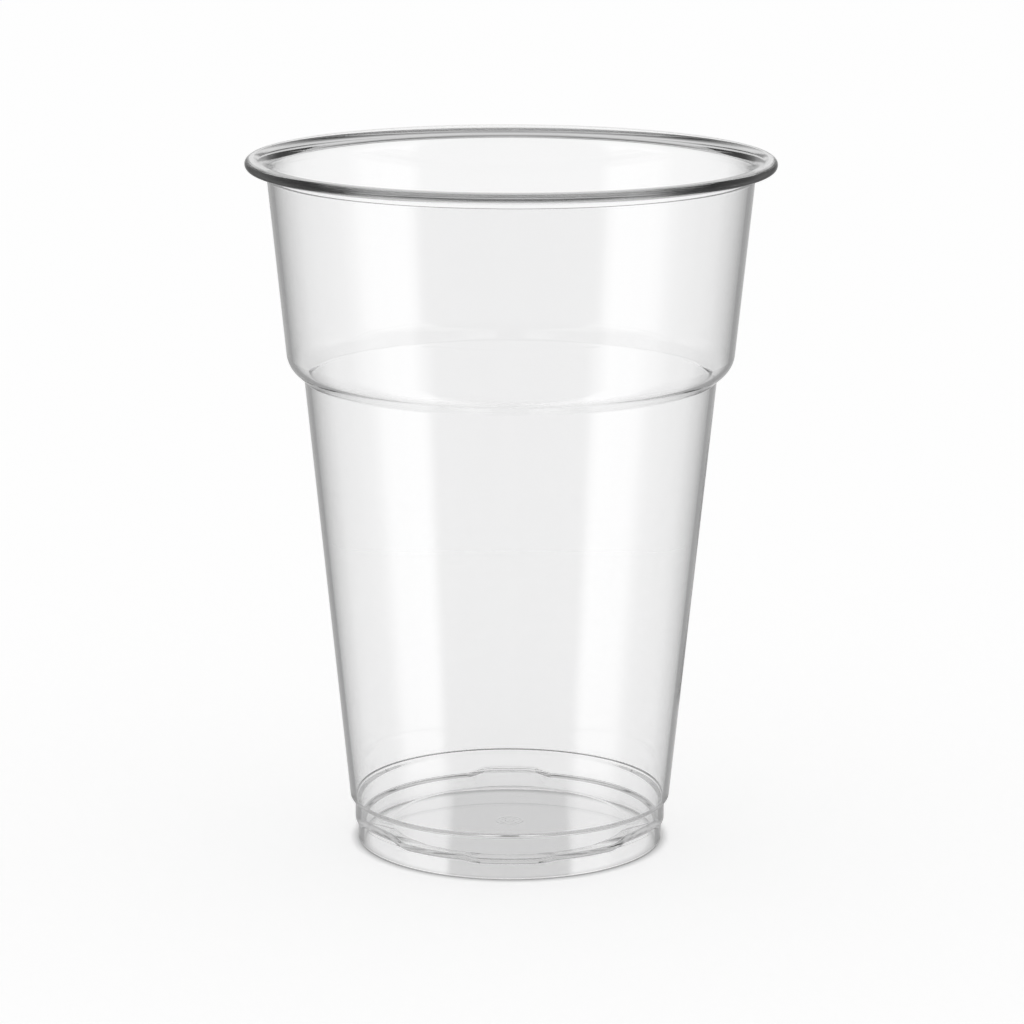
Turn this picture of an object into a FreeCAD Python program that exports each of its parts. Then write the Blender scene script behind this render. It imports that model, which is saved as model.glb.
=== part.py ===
import FreeCAD, Part
import math
import os
import Sketcher

# Reusable drinking cup, moulded in one piece of clear plastic: a flat rim, a tapered upper
# wall, a rounded shoulder, a narrower tapered wall below it, and a stepped base whose foot
# seats in another cup. Millimetres and degrees, +Z up. The origin is at the middle of the
# base, on the surface that the cup stands on.

# The driving sizes. Radii are given once, at the rim, and step inwards from there.
SIZES = {
    # rim
    "cup_height": 125.9,
    "rim_radius": 47.5,
    "rim_thickness": 1.9,
    "rim_overhang": 3.76,
    "rim_round": 0.8,
    "rim_fillet": 1.2,
    # walls and shoulder
    "wall": 1.0,
    "draft": 5.77,
    "shoulder_height": 86.15,
    "shoulder_step": 2.97,
    "shoulder_slope": 48.0,
    "shoulder_round": 4.75,
    "neck_fillet": 0.3,
    # base, outside
    "step_height": 8.15,
    "step_in": 0.87,
    "band_height": 3.8,
    "band_in": 0.5,
    "step_round": 0.3,
    "band_round": 0.2,
    "foot_round": 0.5,
    # base, inside: the wall draws in above a flat floor with a shallow cone around it
    "seat_height": 8.9,
    "seat_drop": 1.2,
    "seat_round": 1.1,
    "base_wall": 1.05,
    "floor_height": 3.0,
    "floor_round": 2.0,
    "cone_width": 5.9,
    "cone_rise": 1.2,
    # raised ramps around the floor, and a lower stretch of the cone's corner
    "ramp_count": 3,
    "ramp_span": 28.0,
    "ramp_width": 4.9,
    "ramp_rise": 1.3,
    "dip_span": 31.0,
    "dip_width": 4.9,
    "dip_depth": 0.45,
    # recess under the floor, which keeps the floor, its cone and its ramps evenly thick
    "floor_thickness": 0.8,
    "foot_width": 1.1,
    "foot_inner_round": 0.3,
}

# Radii and heights that follow from the driving sizes, each worked out from those above it.
FOLLOWING = {
    "rim_under": "Sizes.cup_height - Sizes.rim_thickness",
    "collar_radius": "Sizes.rim_radius - Sizes.rim_overhang",
    "shoulder_top": "Sizes.shoulder_height + Sizes.shoulder_step / tan(Sizes.shoulder_slope)",
    "shoulder_radius": "collar_radius - (rim_under - shoulder_top) * tan(Sizes.draft)",
    "neck_radius": "shoulder_radius - Sizes.shoulder_step",
    "step_radius": "neck_radius - (Sizes.shoulder_height - Sizes.step_height) * tan(Sizes.draft)",
    "band_radius": "step_radius - Sizes.step_in",
    "foot_radius": "band_radius - Sizes.band_in",
    "inset": "Sizes.wall * tan(Sizes.shoulder_slope / 2)",
    "mouth_radius": "collar_radius - Sizes.wall",
    "seat_radius": "step_radius + (Sizes.seat_height - Sizes.step_height) * tan(Sizes.draft)"
    " - Sizes.wall",
    "seat_low": "Sizes.seat_height - Sizes.seat_drop",
    "base_radius": "band_radius - Sizes.base_wall",
    "floor_radius": "base_radius - Sizes.cone_width",
    "cone_top": "Sizes.floor_height + Sizes.cone_rise",
    "ramp_radius": "base_radius - Sizes.ramp_width",
    "ramp_top": "cone_top + Sizes.ramp_rise",
    "ramp_back": "base_radius + Sizes.base_wall / 2",
    "dip_radius": "base_radius - Sizes.dip_width",
    "dip_low": "cone_top - Sizes.dip_depth",
    "recess_radius": "foot_radius - Sizes.foot_width",
    "floor_under": "Sizes.floor_height - Sizes.floor_thickness",
    "cone_slope": "Sizes.cone_rise / Sizes.cone_width",
    "recess_top": "floor_under + cone_slope * (recess_radius - floor_radius)",
    "hollow_top": "floor_under + (ramp_top - Sizes.floor_height)"
    " * (recess_radius - ramp_radius) / Sizes.ramp_width",
    "dip_under": "floor_under + cone_slope * (dip_radius - floor_radius)",
    "sunk_radius": "recess_radius + Sizes.foot_width / 2",
}

doc = FreeCAD.newDocument("cup")


def make_sheet(name, cells):
    """A spreadsheet with a row for each size: its name in column A, its value in column B."""
    sheet = doc.addObject("Spreadsheet::Sheet", name)
    for row, (alias, value) in enumerate(cells.items(), start=1):
        sheet.set(f"A{row}", alias)
        sheet.setAlias(f"B{row}", alias)
        sheet.set(f"B{row}", value)
    doc.recompute()


def make_section(body, name, corners, plane_role="XZ_Plane"):
    """A closed section in an upright plane of the body. Each corner is its name, radius and
    height, the last two as expressions. The corners start on a rough circle, and the sizes
    then pull them to their places. Returns the sketch, and where each named corner lies."""
    plane = next(p for p in body.Origin.OriginFeatures if p.Role == plane_role)
    sketch = body.newObject("Sketcher::SketchObject", name)
    sketch.AttachmentSupport = [(plane, "")]
    sketch.MapMode = "FlatFace"
    count = len(corners)
    turns = [2 * math.pi * i / count for i in range(count)]
    rough = [FreeCAD.Vector(20 + 10 * math.cos(t), 20 + 10 * math.sin(t), 0) for t in turns]
    for i in range(count):
        sketch.addGeometry(Part.LineSegment(rough[i], rough[(i + 1) % count]))
    for i in range(count):
        sketch.addConstraint(Sketcher.Constraint("Coincident", i, 2, (i + 1) % count, 1))
    for i, (_, radius, height) in enumerate(corners):
        across = Sketcher.Constraint("DistanceX", -1, 1, i, 1, rough[i].x)
        sketch.setExpression(f"Constraints[{sketch.addConstraint(across)}]", radius)
        up = Sketcher.Constraint("DistanceY", -1, 1, i, 1, rough[i].y)
        sketch.setExpression(f"Constraints[{sketch.addConstraint(up)}]", height)
    doc.recompute()
    places = {corner[0]: sketch.Geometry[i].StartPoint for i, corner in enumerate(corners)}
    return sketch, places


def spin(body, kind, name, sketch, span=None):
    """A section turned about the cup's axis, added to the body or cut from it: a full turn, or
    an arc of the given span with the section at its middle."""
    feature = body.newObject(f"PartDesign::{kind}", name)
    feature.Profile = sketch
    feature.ReferenceAxis = (sketch, ["V_Axis"])
    feature.Angle = 360
    if span:
        feature.Midplane = True
        feature.setExpression("Angle", span)
    doc.recompute()
    return feature


def repeat(body, name, feature, sketch):
    """The feature repeated around the cup's axis, once for each ramp."""
    pattern = body.newObject("PartDesign::PolarPattern", name)
    pattern.Originals = [feature]
    pattern.Axis = (sketch, ["V_Axis"])
    pattern.Angle = 360
    pattern.setExpression("Occurrences", "Sizes.ramp_count")
    body.Tip = pattern
    doc.recompute()


def round_rings(body, name, rings, size):
    """A fillet of one size on the circular edges through the given section corners."""
    base = body.Tip
    edges = []
    for ring in rings:
        for i, edge in enumerate(base.Shape.Edges, start=1):
            circle = edge.Curve
            if not isinstance(circle, Part.Circle):
                continue
            same_radius = math.isclose(circle.Radius, ring.x, abs_tol=1e-4)
            same_height = math.isclose(circle.Center.z, ring.y, abs_tol=1e-4)
            if same_radius and same_height:
                edges.append(f"Edge{i}")
    if len(edges) != len(rings):
        raise RuntimeError(f"{name}: {len(edges)} edges found for {len(rings)} rings")
    fillet = body.newObject("PartDesign::Fillet", name)
    fillet.Base = (base, edges)
    fillet.setExpression("Radius", size)
    body.Tip = fillet
    doc.recompute()


def make_cup():
    body = doc.addObject("PartDesign::Body", "cup")
    body.Label = "cup"

    # solid outer form, from the foot up to the rim
    outside, outer = make_section(body, "outer_section", [
        ("axis_low", "0", "0"),
        ("foot", "Follows.foot_radius", "0"),
        ("foot_top", "Follows.foot_radius", "Sizes.band_height"),
        ("band_low", "Follows.band_radius", "Sizes.band_height"),
        ("band_top", "Follows.band_radius", "Sizes.step_height"),
        ("step", "Follows.step_radius", "Sizes.step_height"),
        ("neck", "Follows.neck_radius", "Sizes.shoulder_height"),
        ("shoulder", "Follows.shoulder_radius", "Follows.shoulder_top"),
        ("collar", "Follows.collar_radius", "Follows.rim_under"),
        ("rim_low", "Sizes.rim_radius", "Follows.rim_under"),
        ("rim_top", "Sizes.rim_radius", "Sizes.cup_height"),
        ("axis_top", "0", "Sizes.cup_height"),
    ])
    spin(body, "Revolution", "outer_form", outside)

    # cavity, its walls a wall's thickness inside those of the outer form
    inside, inner = make_section(body, "cavity_section", [
        ("axis_low", "0", "Sizes.floor_height"),
        ("floor", "Follows.floor_radius", "Sizes.floor_height"),
        ("corner", "Follows.base_radius", "Follows.cone_top"),
        ("seat_low", "Follows.base_radius", "Follows.seat_low"),
        ("seat", "Follows.seat_radius", "Sizes.seat_height"),
        ("neck", "Follows.neck_radius - Sizes.wall", "Sizes.shoulder_height + Follows.inset"),
        ("shoulder", "Follows.shoulder_radius - Sizes.wall", "Follows.shoulder_top + Follows.inset"),
        ("mouth", "Follows.mouth_radius", "Sizes.cup_height"),
        ("axis_top", "0", "Sizes.cup_height"),
    ])
    spin(body, "Groove", "cavity", inside)

    # recess under the floor, so that the cup stands on a ring
    below, under = make_section(body, "recess_section", [
        ("axis_low", "0", "0"),
        ("edge", "Follows.recess_radius", "0"),
        ("top", "Follows.recess_radius", "Follows.recess_top"),
        ("floor", "Follows.floor_radius", "Follows.floor_under"),
        ("axis_top", "0", "Follows.floor_under"),
    ])
    spin(body, "Groove", "recess", below)

    # rounds, the large ones first
    rim = [outer["rim_low"], outer["rim_top"], inner["mouth"]]
    seat = [inner["seat"], inner["seat_low"]]
    step = [outer["step"], outer["band_top"]]
    band = [outer["band_low"], outer["foot_top"]]
    round_rings(body, "shoulder_outside", [outer["shoulder"]], "Sizes.shoulder_round")
    round_rings(body, "shoulder_inside", [inner["shoulder"]], "Sizes.shoulder_round - Sizes.wall")
    round_rings(body, "neck_outside", [outer["neck"]], "Sizes.neck_fillet")
    round_rings(body, "neck_inside", [inner["neck"]], "Sizes.neck_fillet + Sizes.wall")
    round_rings(body, "collar_fillet", [outer["collar"]], "Sizes.rim_fillet")
    round_rings(body, "rim_edges", rim, "Sizes.rim_round")
    round_rings(body, "seat_rounds", seat, "Sizes.seat_round")
    round_rings(body, "floor_edges", [inner["floor"], under["floor"]], "Sizes.floor_round")
    round_rings(body, "step_edges", step, "Sizes.step_round")
    round_rings(body, "band_edges", band, "Sizes.band_round")
    round_rings(body, "foot_edge", [outer["foot"]], "Sizes.foot_round")
    round_rings(body, "foot_inner_edge", [under["edge"]], "Sizes.foot_inner_round")

    # a lower stretch of the cone's corner on the -Y side, and the same under the floor
    dip, _ = make_section(body, "dip_section", [
        ("edge", "-Follows.dip_radius", "Follows.cone_top"),
        ("top", "-Follows.base_radius", "Follows.cone_top"),
        ("low", "-Follows.base_radius", "Follows.dip_low"),
    ], "YZ_Plane")
    spin(body, "Groove", "dip", dip, "Sizes.dip_span")
    boss, _ = make_section(body, "boss_section", [
        ("edge", "-Follows.dip_radius", "Follows.dip_under"),
        ("back", "-Follows.sunk_radius", "Follows.recess_top + Sizes.dip_depth"),
        ("low", "-Follows.recess_radius", "Follows.recess_top - Sizes.dip_depth"),
    ], "YZ_Plane")
    spin(body, "Revolution", "dip_boss", boss, "Sizes.dip_span")

    # ramps from the floor up to the wall, their backs sunk half way into the wall
    wedge, _ = make_section(body, "ramp_section", [
        ("edge", "Follows.ramp_radius", "Sizes.floor_height"),
        ("back_low", "Follows.ramp_back", "Follows.cone_top - Sizes.floor_thickness / 2"),
        ("back_top", "Follows.ramp_back", "Follows.ramp_top"),
        ("top", "Follows.base_radius", "Follows.ramp_top"),
    ], "YZ_Plane")
    repeat(body, "ramps", spin(body, "Revolution", "ramp", wedge, "Sizes.ramp_span"), wedge)

    # hollows under the ramps
    hollow, _ = make_section(body, "hollow_section", [
        ("edge", "Follows.ramp_radius", "Follows.floor_under"),
        ("low", "Follows.recess_radius", "Follows.floor_under"),
        ("top", "Follows.recess_radius", "Follows.hollow_top"),
    ], "YZ_Plane")
    repeat(body, "hollows", spin(body, "Groove", "hollow", hollow, "Sizes.ramp_span"), hollow)

    body.Placement = FreeCAD.Placement(FreeCAD.Vector(0, 0, 0), FreeCAD.Rotation())
    return body


def check_document():
    """Stops if any object failed to build."""
    for thing in doc.Objects:
        if "Invalid" in thing.State or "Error" in thing.State:
            raise RuntimeError(f"{thing.Name} failed: {thing.State}")


def write_parts(pieces):
    os.makedirs("parts", exist_ok=True)
    for piece in pieces:
        shape = piece.Shape
        if shape.isNull() or not shape.isValid() or len(shape.Solids) != 1:
            raise RuntimeError(f"{piece.Label} is not one valid solid")
        shape.exportStep(f"parts/{piece.Label}.step")
        box = shape.optimalBoundingBox()
        print(f"{piece.Label}: {box.XLength:.2f} x {box.YLength:.2f} x {box.ZLength:.2f} mm,"
              f" {shape.Volume / 1000:.2f} cm3")


make_sheet("Sizes", {name: str(value) for name, value in SIZES.items()})
make_sheet("Follows", {name: f"={expression}" for name, expression in FOLLOWING.items()})
cup = make_cup()
doc.recompute()
check_document()
write_parts([cup])
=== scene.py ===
import math

import bpy
from mathutils import Matrix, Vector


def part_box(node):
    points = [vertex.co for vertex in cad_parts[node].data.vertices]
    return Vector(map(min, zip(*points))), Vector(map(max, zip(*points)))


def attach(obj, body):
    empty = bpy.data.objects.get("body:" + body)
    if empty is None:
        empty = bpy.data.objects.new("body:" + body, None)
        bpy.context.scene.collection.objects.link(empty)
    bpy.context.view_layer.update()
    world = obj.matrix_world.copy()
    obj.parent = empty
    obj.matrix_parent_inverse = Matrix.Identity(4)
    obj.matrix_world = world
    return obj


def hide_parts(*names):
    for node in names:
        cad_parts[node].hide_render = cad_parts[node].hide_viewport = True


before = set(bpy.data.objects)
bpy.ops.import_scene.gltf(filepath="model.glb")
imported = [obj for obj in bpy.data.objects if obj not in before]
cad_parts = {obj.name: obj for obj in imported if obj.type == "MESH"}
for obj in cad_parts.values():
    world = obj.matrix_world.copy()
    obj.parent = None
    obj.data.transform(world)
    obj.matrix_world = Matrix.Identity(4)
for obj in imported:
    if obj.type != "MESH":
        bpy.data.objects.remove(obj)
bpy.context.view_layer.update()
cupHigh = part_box("cup")[1]
print("frame loaded")

scene = bpy.context.scene
scene.view_settings.view_transform = "Standard"
bounces = 48    # light turns many times inside clear walls
scene.cycles.max_bounces = bounces
scene.cycles.glossy_bounces = bounces
scene.cycles.transmission_bounces = bounces
mm = 0.001


# camera: a long lens a little above the rim, looking down into the cup

cameraView = {
    "distance": 0.7201,   # in front of the cup's axis
    "height": 0.2212,
    "sideways": 0.0003,
    "pitchDown": 12.54,   # degrees
    "roll": 0.14,
    "lens": 142.7,
}


def addCamera():
    lens = bpy.data.cameras.new("camera")
    lens.sensor_width = 36
    lens.lens = cameraView["lens"]
    lens.clip_start = 0.01
    camera = bpy.data.objects.new("camera", lens)
    camera.location = (cameraView["sideways"], -cameraView["distance"], cameraView["height"])
    pitch = Matrix.Rotation(math.radians(90 - cameraView["pitchDown"]), 3, "X")
    roll = Matrix.Rotation(math.radians(cameraView["roll"]), 3, "Z")
    camera.rotation_euler = (pitch @ roll).to_euler()
    scene.collection.objects.link(camera)
    scene.camera = camera


addCamera()
print("camera placed")


# cup: one turned shell, smooth enough to see through cleanly

cupShape = {  # millimetres and degrees
    "rimThickness": 1.9,
    "rimOverhang": 3.76,
    "rimRound": 0.94,
    "rimInnerRound": 3.7,
    "rimFillet": 2.0,
    "wall": 1.0,
    "draft": 5.77,
    "shoulderHeight": 86.15,
    "shoulderStep": 2.97,
    "shoulderSlope": 48.0,
    "shoulderRound": 4.75,
    "neckFillet": 0.3,
    "stepHeight": 8.15,
    "stepIn": 0.87,
    "bandHeight": 3.8,
    "bandIn": 0.5,
    "stepRound": 0.42,
    "bandRound": 0.2,
    "footRound": 0.5,
    "seatHeight": 8.9,
    "seatDrop": 1.2,
    "seatRound": 0.5,
    "baseWall": 1.05,
    "floorHeight": 3.0,
    "floorRound": 2.0,
    "coneWidth": 5.9,
    "coneRise": 1.2,
    "cornerRound": 0.5,
    "rampCount": 3,
    "rampHalfSpan": 14.0,
    "rampRise": 1.3,
    "rampBow": 0.2,       # how much lower its ends are than its middle
    "dipHalfSpan": 15.5,
    "dipDepth": 0.45,
    "blend": 8.0,         # how far a ramp or the dip takes to rise
    "floorThickness": 0.8,
    "footWidth": 1.1,
    "footInnerRound": 0.3,
    "recessRound": 0.3,
    "gateRadius": 0.7,    # trace of the mould's gate under the floor
    "gateDepth": 0.05,
    "gateLip": 0.15,
    "gateRound": 0.1,
    "rippleStart": 0.6,   # ripples around it, counted from its edge
    "rippleStep": 0.35,
    "rippleSteps": 5,
    "rippleDepth": 0.015,
    "rippleRound": 0.3,
    "segments": 450,
}


def smoothStep(value):
    value = min(max(value, 0.0), 1.0)
    return value * value * (3 - 2 * value)


def degreesApart(angle, centre):
    return abs((angle - centre + 180) % 360 - 180)


def plateau(angle, centre, halfSpan):
    # 1 inside a span of the turn, 0 outside it, and a smooth rise between
    blend = cupShape["blend"]
    return smoothStep((halfSpan + blend / 2 - degreesApart(angle, centre)) / blend)


def coneTop(angle):
    # height of the corner around the floor, at an angle counted from the front
    shape = cupShape
    height = shape["floorHeight"] + shape["coneRise"]
    for i in range(shape["rampCount"]):
        centre = 180 + i * 360 / shape["rampCount"]
        away = degreesApart(angle, centre) / shape["rampHalfSpan"]
        rise = shape["rampRise"] * (1 - shape["rampBow"] * min(away, 1) ** 2)
        height += rise * plateau(angle, centre, shape["rampHalfSpan"])
    return height - shape["dipDepth"] * plateau(angle, 0, shape["dipHalfSpan"])


def cupCorners(angle):
    # section's corners from under the floor, up the outside and down the inside:
    # radius, height, rounding, steps in the rounding
    shape = cupShape
    lean = math.tan(math.radians(shape["draft"]))
    height = cupHigh[2] / mm
    rimRadius = cupHigh[0] / mm
    rimUnder = height - shape["rimThickness"]
    collar = rimRadius - shape["rimOverhang"]
    slope = math.radians(shape["shoulderSlope"])
    shoulderTop = shape["shoulderHeight"] + shape["shoulderStep"] / math.tan(slope)
    shoulder = collar - (rimUnder - shoulderTop) * lean
    neck = shoulder - shape["shoulderStep"]
    step = neck - (shape["shoulderHeight"] - shape["stepHeight"]) * lean
    band = step - shape["stepIn"]
    foot = band - shape["bandIn"]
    wall = shape["wall"]
    inset = wall * math.tan(slope / 2)
    seat = step + (shape["seatHeight"] - shape["stepHeight"]) * lean - wall
    base = band - shape["baseWall"]
    floorUnder = shape["floorHeight"] - shape["floorThickness"]
    recess = foot - shape["footWidth"]
    corner = coneTop(angle)
    reach = 1 - (base - recess) / shape["coneWidth"]
    gate = shape["gateRadius"]
    gateTrace = [
        (gate, floorUnder - shape["gateDepth"], shape["gateRound"], 3),
        (gate + shape["gateLip"], floorUnder, shape["gateRound"], 3),
    ]
    for k in range(shape["rippleSteps"]):
        radius = gate + shape["rippleStart"] + k * shape["rippleStep"]
        gateTrace.append((radius, floorUnder - shape["rippleDepth"] * (k % 2), shape["rippleRound"], 3))
    return gateTrace + [
        (base - shape["coneWidth"], floorUnder, shape["floorRound"], 5),
        (recess, floorUnder + (corner - shape["floorHeight"]) * reach, shape["recessRound"], 5),
        (recess, 0, shape["footInnerRound"], 8),
        (foot, 0, shape["footRound"], 8),
        (foot, shape["bandHeight"], shape["bandRound"], 5),
        (band, shape["bandHeight"], shape["bandRound"], 5),
        (band, shape["stepHeight"], shape["stepRound"], 5),
        (step, shape["stepHeight"], shape["stepRound"], 5),
        (neck, shape["shoulderHeight"], shape["neckFillet"], 5),
        (shoulder, shoulderTop, shape["shoulderRound"], 14),
        (collar, rimUnder, shape["rimFillet"], 10),
        (rimRadius, rimUnder, shape["rimRound"], 10),
        (rimRadius, height, shape["rimRound"], 10),
        (collar - wall, height, shape["rimInnerRound"], 24),
        (shoulder - wall, shoulderTop + inset, shape["shoulderRound"] - wall, 14),
        (neck - wall, shape["shoulderHeight"] + inset, shape["neckFillet"] + wall, 6),
        (seat, shape["seatHeight"], shape["seatRound"], 6),
        (base, shape["seatHeight"] - shape["seatDrop"], shape["seatRound"], 6),
        (base, corner, shape["cornerRound"], 5),
        (base - shape["coneWidth"], shape["floorHeight"], shape["floorRound"], 5),
    ]


def roundedSection(corners):
    # points along the section with every corner rounded: radius, height, normal's two parts
    ends = [(0, corners[0][1])] + [corner[:2] for corner in corners] + [(0, corners[-1][1])]
    points = []
    for i, (radius, height, rounding, steps) in enumerate(corners):
        before = (radius - ends[i][0], height - ends[i][1])
        after = (ends[i + 2][0] - radius, ends[i + 2][1] - height)
        turn = math.atan2(
            before[0] * after[1] - before[1] * after[0],
            before[0] * after[0] + before[1] * after[1],
        )
        side = math.copysign(1, turn)
        length = math.hypot(*before)
        reach = rounding * math.tan(abs(turn) / 2)
        facing = math.atan2(-before[0], before[1])
        startRadius = radius - before[0] / length * reach
        startHeight = height - before[1] / length * reach
        centreRadius = startRadius - side * rounding * math.cos(facing)
        centreHeight = startHeight - side * rounding * math.sin(facing)
        for k in range(steps + 1):
            angle = facing + turn * k / steps
            points.append((
                centreRadius + side * rounding * math.cos(angle),
                centreHeight + side * rounding * math.sin(angle),
                math.cos(angle),
                math.sin(angle),
            ))
    return points


def buildCup():
    count = cupShape["segments"]
    angles = [360 * i / count for i in range(count)]
    sections = [roundedSection(cupCorners(angle)) for angle in angles]
    length = len(sections[0])
    vertices = []
    normals = []
    for i, section in enumerate(sections):
        turn = math.radians(angles[i])
        outward = (math.sin(turn), -math.cos(turn))
        along = (math.cos(turn), math.sin(turn))
        ahead = sections[(i + 1) % count]
        behind = sections[i - 1]
        for j, (radius, height, normalOut, normalUp) in enumerate(section):
            vertices.append((outward[0] * radius * mm, outward[1] * radius * mm, height * mm))
            climb = (ahead[j][1] - behind[j][1]) * normalUp + (ahead[j][0] - behind[j][0]) * normalOut
            sideways = -climb / (2 * radius * math.radians(360 / count))
            normals.append((
                outward[0] * normalOut + along[0] * sideways,
                outward[1] * normalOut + along[1] * sideways,
                normalUp,
            ))
    underCentre = len(vertices)
    vertices.append((0, 0, sections[0][0][1] * mm))
    normals.append((0, 0, -1))
    floorCentre = len(vertices)
    vertices.append((0, 0, sections[0][-1][1] * mm))
    normals.append((0, 0, 1))

    faces = []
    for i in range(count):
        here = i * length
        there = (i + 1) % count * length
        for j in range(length - 1):
            faces.append((here + j, there + j, there + j + 1, here + j + 1))
        faces.append((underCentre, there, here))
        faces.append((here + length - 1, there + length - 1, floorCentre))

    mesh = bpy.data.meshes.new("clearCup")
    mesh.from_pydata(vertices, [], faces)
    mesh.shade_smooth()
    mesh.normals_split_custom_set_from_vertices(normals)
    cup = bpy.data.objects.new("clearCup", mesh)
    scene.collection.objects.link(cup)
    print("cup built,", len(faces), "faces")
    return cup


# clear plastic, dulled a little by hands and washing

plasticLook = {
    "tint": (0.996, 0.996, 0.997),
    "ior": 1.57,
    "polish": 0.0,        # roughness where the mould was polished
    "haze": 0.03,         # more roughness where hands and washing have dulled it
    "hazeScale": 35,
    "hazeDetail": 2,
    "hazeFrom": 0.5,
    "hazeTo": 0.8,
    "waveDepth": 0.00004,
    "waveScale": 30,
    "waveDetail": 1,
    "shadowTint": 0.85,
}


def clearPlastic():
    material = bpy.data.materials.new("clearPlastic")
    material.use_nodes = True
    nodes = material.node_tree.nodes
    link = material.node_tree.links.new
    nodes.clear()
    output = nodes.new("ShaderNodeOutputMaterial")
    plastic = nodes.new("ShaderNodeBsdfPrincipled")
    plastic.inputs["Base Color"].default_value = (*plasticLook["tint"], 1)
    plastic.inputs["IOR"].default_value = plasticLook["ior"]
    plastic.inputs["Transmission Weight"].default_value = 1.0
    place = nodes.new("ShaderNodeTexCoord")

    def noise(scale, detail):
        texture = nodes.new("ShaderNodeTexNoise")
        texture.inputs["Scale"].default_value = scale
        texture.inputs["Detail"].default_value = detail
        link(place.outputs["Object"], texture.inputs["Vector"])
        return texture.outputs["Fac"]

    # soft haze in large patches
    dulling = nodes.new("ShaderNodeMapRange")
    dulling.inputs["From Min"].default_value = plasticLook["hazeFrom"]
    dulling.inputs["From Max"].default_value = plasticLook["hazeTo"]
    dulling.inputs["To Min"].default_value = plasticLook["polish"]
    dulling.inputs["To Max"].default_value = plasticLook["haze"]
    link(noise(plasticLook["hazeScale"], plasticLook["hazeDetail"]), dulling.inputs["Value"])
    link(dulling.outputs["Result"], plastic.inputs["Roughness"])

    # slow waves left by the moulding
    surface = nodes.new("ShaderNodeBump")
    surface.inputs["Distance"].default_value = plasticLook["waveDepth"]
    link(noise(plasticLook["waveScale"], plasticLook["waveDetail"]), surface.inputs["Height"])
    link(surface.outputs["Normal"], plastic.inputs["Normal"])

    # light passes through it, so its shadow is a light one
    lightPath = nodes.new("ShaderNodeLightPath")
    seeThrough = nodes.new("ShaderNodeBsdfTransparent")
    seeThrough.inputs["Color"].default_value = (*[plasticLook["shadowTint"]] * 3, 1)
    mix = nodes.new("ShaderNodeMixShader")
    link(lightPath.outputs["Is Shadow Ray"], mix.inputs["Fac"])
    link(plastic.outputs["BSDF"], mix.inputs[1])
    link(seeThrough.outputs["BSDF"], mix.inputs[2])
    link(mix.outputs["Shader"], output.inputs["Surface"])
    return material


cup = buildCup()
cup.data.materials.append(clearPlastic())
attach(cup, "root")
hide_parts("cup")
print("clear plastic applied")


# studio: a white sweep, with white and dark cards around the cup

studio = {
    "floorSize": 3.0,
    "floorColor": 0.9,
    "floorGlow": 0.54,
    "floorNear": 0.05,    # the floor is seen through the cup up to here
    "floorFar": 0.3,      # and no more from here on
    "skyLight": 0.5,
    # how bright the mirrored surroundings are, by degrees away from straight behind the cup
    "reflected": [(0, 0.7), (8, 0.65), (11, 0.45), (22, 0.27), (28, 0.27), (45, 0.55), (90, 0.5),
                  (102, 1.0), (128, 1.0), (135, 0.3), (150, 0.25), (180, 0.25)],
    # the same for what is seen straight through, repeated to and fro all the way round
    "through": [(0, 1.0), (4, 1.0), (6, 0.95), (9, 0.87), (12, 0.73), (16, 0.48), (22.5, 0.3)],
    "ceiling": [(0, 1.0), (32, 1.0), (48, 0.5), (90, 0.5)],   # by degrees above the horizon
    "guided": 0.62,       # light caught in the plastic comes evenly from everywhere
    "guidedFrom": 3,      # after this many reflections
    # painted shade beside the foot: how far it reaches and how dark it gets
    "contactReach": 0.0018,
    "paintedContactShade": 0.1,
    "stripHalf": 0.0103,  # painted shadow: a darker strip of floor under the cup
    "stripSoft": 0.0012,
    "stripEnd": 0.0265,
    "stripEndSoft": 0.001,
    "paintedStripShadow": 0.8,
}


def mathNode(nodes, link, operation, first, second=None):
    node = nodes.new("ShaderNodeMath")
    node.operation = operation
    for socket, value in zip(node.inputs, (first, second)):
        if isinstance(value, (int, float)):
            socket.default_value = value
        elif value is not None:
            link(value, socket)
    return node.outputs[0]


def brightnessRamp(nodes, link, stops, degrees):
    # brightness that follows an angle, through stops given in degrees
    span = stops[-1][0]
    ramp = nodes.new("ShaderNodeValToRGB")
    elements = ramp.color_ramp.elements
    while len(elements) < len(stops):
        elements.new(0.5)
    for element, (place, value) in zip(elements, stops):
        element.position = place / span
        element.color = (value, value, value, 1)
    link(mathNode(nodes, link, "DIVIDE", degrees, span), ramp.inputs["Fac"])
    return ramp.outputs["Color"]


def blendNode(nodes, link, factor, first, second):
    node = nodes.new("ShaderNodeMix")
    for socket, value in zip((node.inputs[0], node.inputs[2], node.inputs[3]), (factor, first, second)):
        if isinstance(value, (int, float)):
            socket.default_value = value
        else:
            link(value, socket)
    return node.outputs[0]


def rangeNode(nodes, link, value, start, width):
    # 0 below the start, 1 once the width is passed
    node = nodes.new("ShaderNodeMapRange")
    node.inputs["From Min"].default_value = start
    node.inputs["From Max"].default_value = start + width
    link(value, node.inputs["Value"])
    return node.outputs["Result"]


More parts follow.
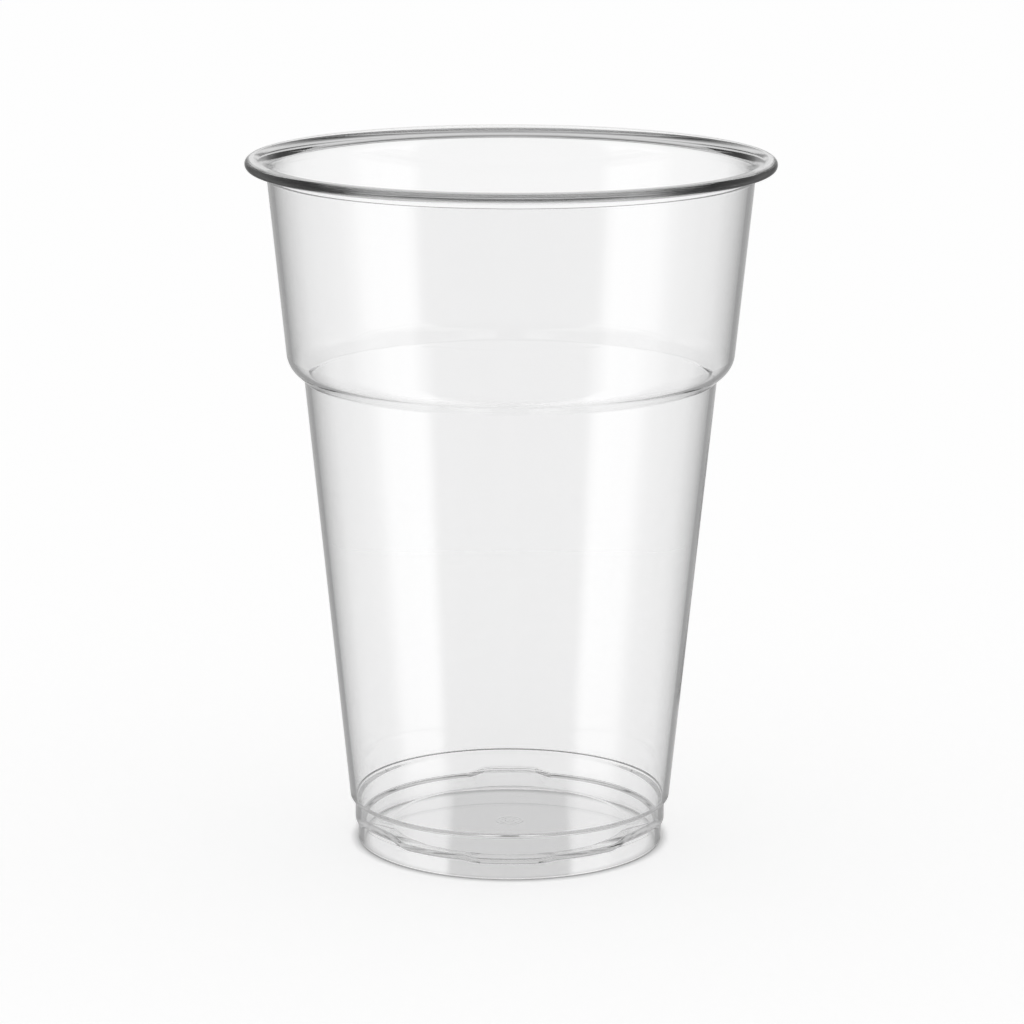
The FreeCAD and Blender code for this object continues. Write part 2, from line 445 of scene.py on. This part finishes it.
def lightSky():
    world = bpy.data.worlds.new("studio")
    scene.world = world
    world.use_nodes = True
    nodes = world.node_tree.nodes
    link = world.node_tree.links.new
    nodes.clear()
    output = nodes.new("ShaderNodeOutputWorld")
    background = nodes.new("ShaderNodeBackground")
    link(background.outputs["Background"], output.inputs["Surface"])
    place = nodes.new("ShaderNodeTexCoord")
    parts = nodes.new("ShaderNodeSeparateXYZ")
    link(place.outputs["Generated"], parts.inputs["Vector"])
    aside = mathNode(nodes, link, "ABSOLUTE", parts.outputs["X"])
    turn = mathNode(nodes, link, "ARCTAN2", aside, parts.outputs["Y"])
    degrees = mathNode(nodes, link, "MULTIPLY", turn, 180 / math.pi)
    rise = mathNode(nodes, link, "ARCSINE", parts.outputs["Z"])
    riseDegrees = mathNode(nodes, link, "MULTIPLY", rise, 180 / math.pi)
    ceiling = brightnessRamp(nodes, link, studio["ceiling"], riseDegrees)

    reflected = brightnessRamp(nodes, link, studio["reflected"], degrees)
    folded = mathNode(nodes, link, "PINGPONG", degrees, studio["through"][-1][0])
    through = brightnessRamp(nodes, link, studio["through"], folded)
    lightPath = nodes.new("ShaderNodeLightPath")
    reflections = lightPath.outputs["Glossy Depth"]
    once = mathNode(nodes, link, "GREATER_THAN", reflections, 0.5)    # mirrored at least once
    often = mathNode(nodes, link, "GREATER_THAN", reflections, studio["guidedFrom"] - 0.5)
    seen = blendNode(nodes, link, once, through, reflected)
    seen = blendNode(nodes, link, often, seen, studio["guided"])
    seen = mathNode(nodes, link, "MULTIPLY", seen, ceiling)

    # white for the camera, a softer level for the light on matt surfaces
    plain = blendNode(nodes, link, lightPath.outputs["Is Camera Ray"], studio["skyLight"], 1)
    clear = mathNode(nodes, link, "MAXIMUM", lightPath.outputs["Is Glossy Ray"],
                     lightPath.outputs["Is Transmission Ray"])
    link(blendNode(nodes, link, clear, plain, seen), background.inputs["Color"])


def addFloor():
    half = studio["floorSize"]
    mesh = bpy.data.meshes.new("floor")
    corners = [(-half, -half, 0), (half, -half, 0), (half, half, 0), (-half, half, 0)]
    mesh.from_pydata(corners, [], [(0, 1, 2, 3)])
    floor = bpy.data.objects.new("floor", mesh)
    scene.collection.objects.link(floor)

    material = bpy.data.materials.new("whiteSweep")
    material.use_nodes = True
    nodes = material.node_tree.nodes
    link = material.node_tree.links.new
    nodes.clear()
    output = nodes.new("ShaderNodeOutputMaterial")
    matt = nodes.new("ShaderNodeBsdfDiffuse")
    glow = nodes.new("ShaderNodeEmission")

    # painted shade: the floor's colour and glow are darkened right beside the foot, where little light
    # gets in
    tight = nodes.new("ShaderNodeAmbientOcclusion")
    tight.inputs["Distance"].default_value = studio["contactReach"]
    tight.only_local = False
    contact = nodes.new("ShaderNodeMapRange")
    contact.inputs["To Min"].default_value = studio["paintedContactShade"]
    link(tight.outputs["AO"], contact.inputs["Value"])

    # and painted shadow in a strip under the cup, as if a flag in front of it took light away; no flag
    # is there
    place = nodes.new("ShaderNodeTexCoord")
    parts = nodes.new("ShaderNodeSeparateXYZ")
    link(place.outputs["Object"], parts.inputs["Vector"])
    aside = mathNode(nodes, link, "ABSOLUTE", parts.outputs["X"])
    away = nodes.new("ShaderNodeVectorMath")
    away.operation = "LENGTH"
    link(place.outputs["Object"], away.inputs[0])
    away = away.outputs["Value"]
    beside = rangeNode(nodes, link, aside, studio["stripHalf"], studio["stripSoft"])
    beyond = rangeNode(nodes, link, away, studio["stripEnd"], studio["stripEndSoft"])
    clearOfStrip = mathNode(nodes, link, "MAXIMUM", beside, beyond)
    strip = blendNode(nodes, link, clearOfStrip, studio["paintedStripShadow"], 1)
    # the painted contact shade and the painted strip shadow darken the floor's glow and colour
    shade = mathNode(nodes, link, "MULTIPLY", contact.outputs["Result"], strip)
    strength = mathNode(nodes, link, "MULTIPLY", shade, studio["floorGlow"])
    link(strength, glow.inputs["Strength"])
    color = mathNode(nodes, link, "MULTIPLY", shade, studio["floorColor"])
    link(color, matt.inputs["Color"])
    lit = nodes.new("ShaderNodeAddShader")
    link(matt.outputs["BSDF"], lit.inputs[0])
    link(glow.outputs["Emission"], lit.inputs[1])

    # seen straight through, the floor is white near the cup and gives way to the surroundings
    # further off; what the plastic mirrors is the surroundings alone
    far = rangeNode(nodes, link, away, studio["floorNear"], studio["floorFar"] - studio["floorNear"])
    near = mathNode(nodes, link, "SUBTRACT", 1, far)
    lightPath = nodes.new("ShaderNodeLightPath")
    straight = mathNode(nodes, link, "LESS_THAN", lightPath.outputs["Glossy Depth"], 0.5)
    through = mathNode(nodes, link, "MULTIPLY", straight, near)
    shown = mathNode(nodes, link, "MAXIMUM", lightPath.outputs["Is Camera Ray"], through)
    clear = nodes.new("ShaderNodeBsdfTransparent")
    mix = nodes.new("ShaderNodeMixShader")
    link(shown, mix.inputs["Fac"])
    link(clear.outputs["BSDF"], mix.inputs[1])
    link(lit.outputs["Shader"], mix.inputs[2])
    link(mix.outputs["Shader"], output.inputs["Surface"])
    mesh.materials.append(material)


lightSky()
addFloor()
print("studio lit")
